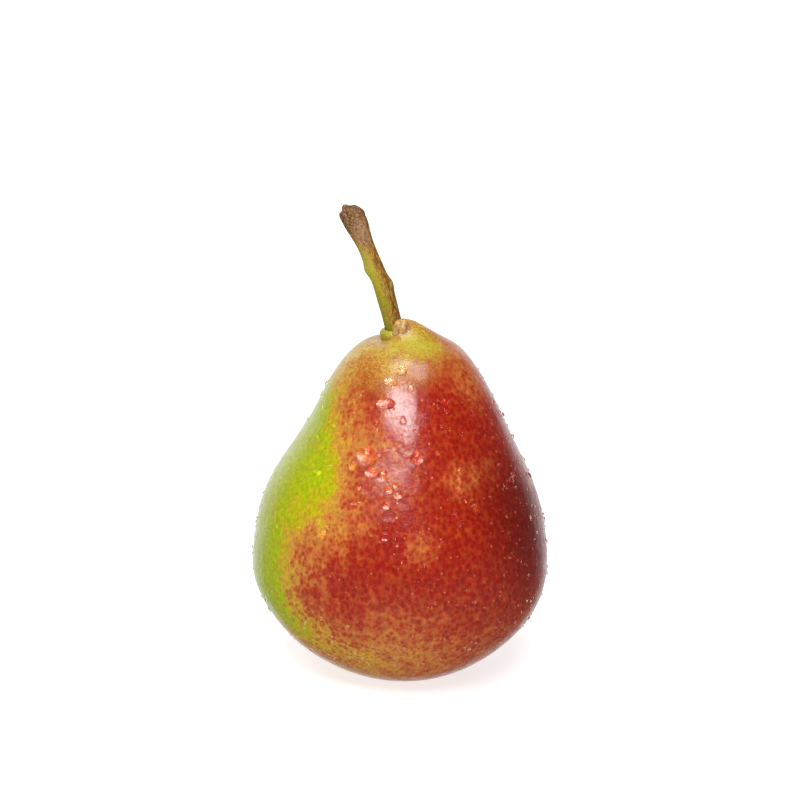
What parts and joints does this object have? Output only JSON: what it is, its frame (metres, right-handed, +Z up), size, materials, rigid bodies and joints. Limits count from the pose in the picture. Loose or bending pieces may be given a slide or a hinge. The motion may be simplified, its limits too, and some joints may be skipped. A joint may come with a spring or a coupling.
{
  "type": "pear",
  "caption": "Ripe blushed pear that stands upright on its flower end, with a short curved woody stem and dried sepals in the basin underneath.",
  "frame": {"origin": "point of the resting plane under the middle of the fruit's bounding box", "axes": "+Z up from the flower end towards the stem; the stem leans towards -X, and -Y is the blushed front"},
  "size_m": [0.065, 0.064, 0.1031],
  "materials": {
    "skin": "waxy satin fruit skin, lime green on one flank, yellow at the crown and mottled red on the blushed side, with small pale dots",
    "stem": "olive green to brown young bark, matt, with lengthwise streaks and a darker rough tip",
    "calyx": "dry brown flower remains, matt"
  },
  "bodies": {
    "root": {"fruit": "skin", "stem": "stem", "calyx_disc": "calyx", "sepal_1": "calyx", "sepal_2": "calyx", "sepal_3": "calyx", "sepal_4": "calyx", "sepal_5": "calyx"}
  },
  "joints": []
}
